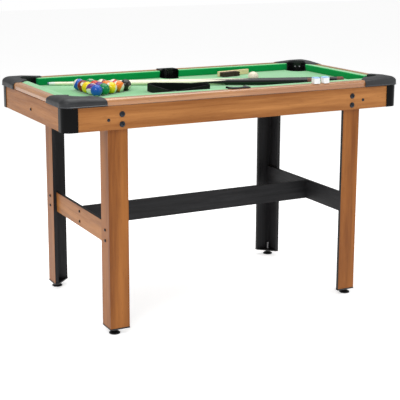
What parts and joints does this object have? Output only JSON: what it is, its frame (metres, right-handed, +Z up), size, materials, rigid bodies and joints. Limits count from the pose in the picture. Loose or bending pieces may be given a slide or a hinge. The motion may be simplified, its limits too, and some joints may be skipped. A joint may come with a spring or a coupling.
{
  "type": "mini pool table",
  "caption": "Small pool table with a wood-grain frame, black corner pocket caps, green bed and cushions, folded-board legs with stretchers, and loose balls, cues, triangle, chalk and brush.",
  "frame": {"origin": "on the floor, under the middle of the table", "axes": "+X along the table's length, +Y across it to the back, +Z up"},
  "size_m": [1.22, 0.61, 0.7711],
  "materials": {
    "wood_laminate": "satin printed wood-grain foil on board",
    "black_board": "matt black foil on board",
    "bed_cloth": "woven nylon playing cloth",
    "cushion_cloth": "cloth stretched over rubber",
    "cap_plastic": "fine textured moulded plastic",
    "post_plastic": "glossy moulded plastic",
    "pocket_plastic": "moulded plastic",
    "foot_plastic": "moulded plastic",
    "cue_maple": "lacquered",
    "chalk_paper": "paper label on pressed chalk",
    "brush_wood": "raw lacquered wood",
    "ball_blue": "polished resin",
    "ball_purple": "polished resin",
    "ball_yellow": "polished resin",
    "ball_maroon": "polished resin",
    "ball_green": "polished resin",
    "ball_orange": "polished resin",
    "ball_red": "polished resin",
    "ball_black": "polished resin",
    "ball_white": "polished resin"
  },
  "bodies": {
    "table": {"front_rail": "wood_laminate", "back_rail": "wood_laminate", "right_rail": "wood_laminate", "left_rail": "wood_laminate", "corner_post_back_right": "post_plastic", "corner_pocket_back_right": "cap_plastic", "leg_back_right": "wood_laminate", "leg_plate_back_right": "foot_plastic", "corner_post_back_left": "post_plastic", "corner_pocket_back_left": "cap_plastic", "leg_back_left": "wood_laminate", "leg_plate_back_left": "foot_plastic", "corner_post_front_left": "post_plastic", "corner_pocket_front_left": "cap_plastic", "leg_front_left": "wood_laminate", "leg_plate_front_left": "foot_plastic", "corner_post_front_right": "post_plastic", "corner_pocket_front_right": "cap_plastic", "leg_front_right": "wood_laminate", "leg_plate_front_right": "foot_plastic", "bed_board": "black_board", "bed_cloth": "bed_cloth", "cushion_front_left": "cushion_cloth", "cushion_front_right": "cushion_cloth", "cushion_back_right": "cushion_cloth", "cushion_back_left": "cushion_cloth", "cushion_right_end": "cushion_cloth", "cushion_left_end": "cushion_cloth", "side_pocket_front": "pocket_plastic", "side_pocket_back": "pocket_plastic", "end_stretcher_left": "wood_laminate", "end_stretcher_right": "wood_laminate", "long_stretcher": "black_board"},
    "levelling_foot_back_right": {"levelling_foot_back_right": "foot_plastic"},
    "levelling_foot_back_left": {"levelling_foot_back_left": "foot_plastic"},
    "levelling_foot_front_left": {"levelling_foot_front_left": "foot_plastic"},
    "levelling_foot_front_right": {"levelling_foot_front_right": "foot_plastic"},
    "ball_02_blue": {"ball_02_blue": "ball_blue"},
    "ball_12_purple": {"ball_12_purple": "ball_purple"},
    "ball_01_yellow": {"ball_01_yellow": "ball_yellow"},
    "ball_07_maroon": {"ball_07_maroon": "ball_maroon"},
    "ball_10_blue": {"ball_10_blue": "ball_blue"},
    "ball_06_green": {"ball_06_green": "ball_green"},
    "ball_04_purple": {"ball_04_purple": "ball_purple"},
    "ball_03_red": {"ball_03_red": "ball_red"},
    "ball_14_green": {"ball_14_green": "ball_green"},
    "ball_09_yellow": {"ball_09_yellow": "ball_yellow"},
    "ball_05_orange": {"ball_05_orange": "ball_orange"},
    "ball_15_maroon": {"ball_15_maroon": "ball_maroon"},
    "ball_13_orange": {"ball_13_orange": "ball_orange"},
    "ball_11_red": {"ball_11_red": "ball_red"},
    "ball_08_black": {"ball_08_black": "ball_black"},
    "ball_cue_white": {"ball_cue_white": "ball_white"},
    "cue_1": {"cue_1": "cue_maple"},
    "cue_2": {"cue_2": "cue_maple"},
    "ball_triangle": {"ball_triangle": "pocket_plastic"},
    "chalk_1": {"chalk_1": "chalk_paper"},
    "chalk_2": {"chalk_2": "chalk_paper"},
    "cloth_brush": {"cloth_brush": "brush_wood"}
  },
  "joints": [
    {"name": "foot_height_back_right", "type": "slide", "parent": "table", "child": "levelling_foot_back_right", "axis": [0, 0, 1], "range_m": [-0.012, 0]},
    {"name": "foot_height_back_left", "type": "slide", "parent": "table", "child": "levelling_foot_back_left", "axis": [0, 0, 1], "range_m": [-0.012, 0]},
    {"name": "foot_height_front_left", "type": "slide", "parent": "table", "child": "levelling_foot_front_left", "axis": [0, 0, 1], "range_m": [-0.012, 0]},
    {"name": "foot_height_front_right", "type": "slide", "parent": "table", "child": "levelling_foot_front_right", "axis": [0, 0, 1], "range_m": [-0.012, 0]},
    {"name": "lift_ball_02_blue", "type": "slide", "parent": "table", "child": "ball_02_blue", "axis": [0, 0, 1], "range_m": [0, 0.07]},
    {"name": "lift_ball_12_purple", "type": "slide", "parent": "table", "child": "ball_12_purple", "axis": [0, 0, 1], "range_m": [0, 0.07]},
    {"name": "lift_ball_01_yellow", "type": "slide", "parent": "table", "child": "ball_01_yellow", "axis": [0, 0, 1], "range_m": [0, 0.07]},
    {"name": "lift_ball_07_maroon", "type": "slide", "parent": "table", "child": "ball_07_maroon", "axis": [0, 0, 1], "range_m": [0, 0.07]},
    {"name": "lift_ball_10_blue", "type": "slide", "parent": "table", "child": "ball_10_blue", "axis": [0, 0, 1], "range_m": [0, 0.07]},
    {"name": "lift_ball_06_green", "type": "slide", "parent": "table", "child": "ball_06_green", "axis": [0, 0, 1], "range_m": [0, 0.07]},
    {"name": "lift_ball_04_purple", "type": "slide", "parent": "table", "child": "ball_04_purple", "axis": [0, 0, 1], "range_m": [0, 0.07]},
    {"name": "lift_ball_03_red", "type": "slide", "parent": "table", "child": "ball_03_red", "axis": [0, 0, 1], "range_m": [0, 0.07]},
    {"name": "lift_ball_14_green", "type": "slide", "parent": "table", "child": "ball_14_green", "axis": [0, 0, 1], "range_m": [0, 0.07]},
    {"name": "lift_ball_09_yellow", "type": "slide", "parent": "table", "child": "ball_09_yellow", "axis": [0, 0, 1], "range_m": [0, 0.07]},
    {"name": "lift_ball_05_orange", "type": "slide", "parent": "table", "child": "ball_05_orange", "axis": [0, 0, 1], "range_m": [0, 0.07]},
    {"name": "lift_ball_15_maroon", "type": "slide", "parent": "table", "child": "ball_15_maroon", "axis": [0, 0, 1], "range_m": [0, 0.07]},
    {"name": "lift_ball_13_orange", "type": "slide", "parent": "table", "child": "ball_13_orange", "axis": [0, 0, 1], "range_m": [0, 0.07]},
    {"name": "lift_ball_11_red", "type": "slide", "parent": "table", "child": "ball_11_red", "axis": [0, 0, 1], "range_m": [0, 0.07]},
    {"name": "lift_ball_08_black", "type": "slide", "parent": "table", "child": "ball_08_black", "axis": [0, 0, 1], "range_m": [0, 0.07]},
    {"name": "lift_ball_cue_white", "type": "slide", "parent": "table", "child": "ball_cue_white", "axis": [0, 0, 1], "range_m": [0, 0.07]},
    {"name": "lift_cue_1", "type": "slide", "parent": "table", "child": "cue_1", "axis": [0, 0, 1], "range_m": [0, 0.13]},
    {"name": "lift_cue_2", "type": "slide", "parent": "table", "child": "cue_2", "axis": [0, 0, 1], "range_m": [0, 0.11]},
    {"name": "lift_ball_triangle", "type": "slide", "parent": "table", "child": "ball_triangle", "axis": [0, 0, 1], "range_m": [0, 0.09]},
    {"name": "lift_chalk_1", "type": "slide", "parent": "table", "child": "chalk_1", "axis": [0, 0, 1], "range_m": [0, 0.04]},
    {"name": "lift_chalk_2", "type": "slide", "parent": "table", "child": "chalk_2", "axis": [0, 0, 1], "range_m": [0, 0.04]},
    {"name": "lift_cloth_brush", "type": "slide", "parent": "table", "child": "cloth_brush", "axis": [0, 0, 1], "range_m": [0, 0.06]}
  ]
}
